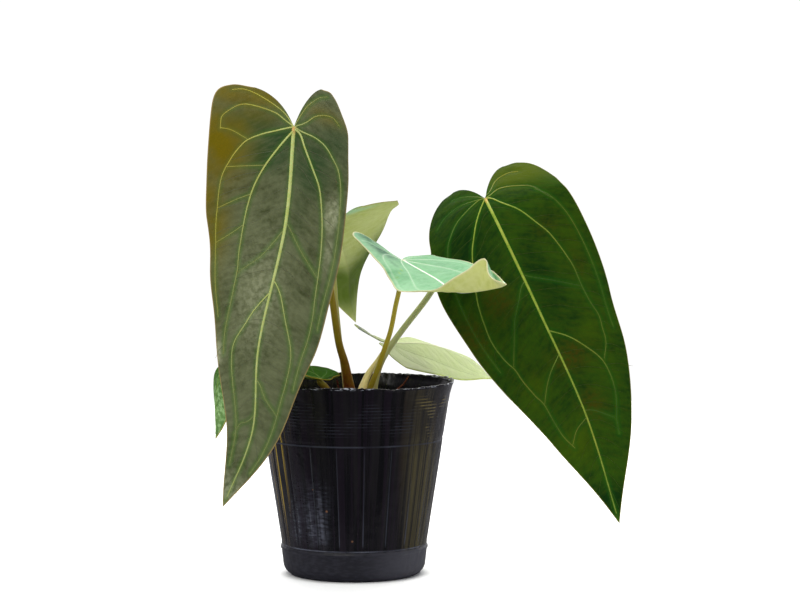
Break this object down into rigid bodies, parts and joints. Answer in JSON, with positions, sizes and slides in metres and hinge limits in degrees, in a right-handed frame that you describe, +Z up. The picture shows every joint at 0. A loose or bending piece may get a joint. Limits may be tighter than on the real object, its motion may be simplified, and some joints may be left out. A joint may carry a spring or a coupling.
{
  "type": "potted anthurium",
  "caption": "Potted anthurium: velvety heart-shaped leaves with pale ribs on slender stalks rising from one crown in a thin black nursery pot.",
  "frame": {"origin": "middle of the pot's underside, on the surface that it stands on", "axes": "+Z up; -Y towards the side that the two largest blades face; +X towards the dark hanging blade"},
  "size_m": [0.2491, 0.2633, 0.2926],
  "materials": {
    "pot_plastic": "thin glossy near-black film plastic with faint pleats and dust",
    "bark_mix": "rough damp bark chips and fibre",
    "crown_tissue": "dull brown-green knobbly stem tissue",
    "root": "dull reddish-brown root skin",
    "stalk_a": "smooth satin leaf stalk, flushed brown at its base",
    "leaf_a": "velvety grey-green blade with pale ribs, brown-olive towards one edge",
    "stalk_b": "smooth satin leaf stalk, flushed brown at its base",
    "leaf_b": "velvety deep green blade with pale ribs",
    "stalk_c": "smooth satin leaf stalk, flushed brown at its base",
    "leaf_c": "velvety mint-green blade with a yellow-green underside",
    "stalk_d": "smooth satin leaf stalk, flushed brown at its base",
    "leaf_d": "olive-green blade seen from its duller underside",
    "stalk_e": "smooth satin leaf stalk, flushed brown at its base",
    "leaf_e": "pale green blade seen from its smooth underside",
    "stalk_f": "smooth satin leaf stalk, flushed brown at its base",
    "leaf_f": "small glossy green blade with a brown tip"
  },
  "bodies": {
    "root": {"pot": "pot_plastic", "potting_mix": "bark_mix", "crown": "crown_tissue", "aerial_root_right": "root", "aerial_root_left": "root", "petiole_a": "stalk_a", "blade_a": "leaf_a", "petiole_b": "stalk_b", "blade_b": "leaf_b", "petiole_c": "stalk_c", "blade_c": "leaf_c", "petiole_d": "stalk_d", "blade_d": "leaf_d", "petiole_e": "stalk_e", "blade_e": "leaf_e", "petiole_f": "stalk_f", "blade_f": "leaf_f"}
  },
  "joints": []
}
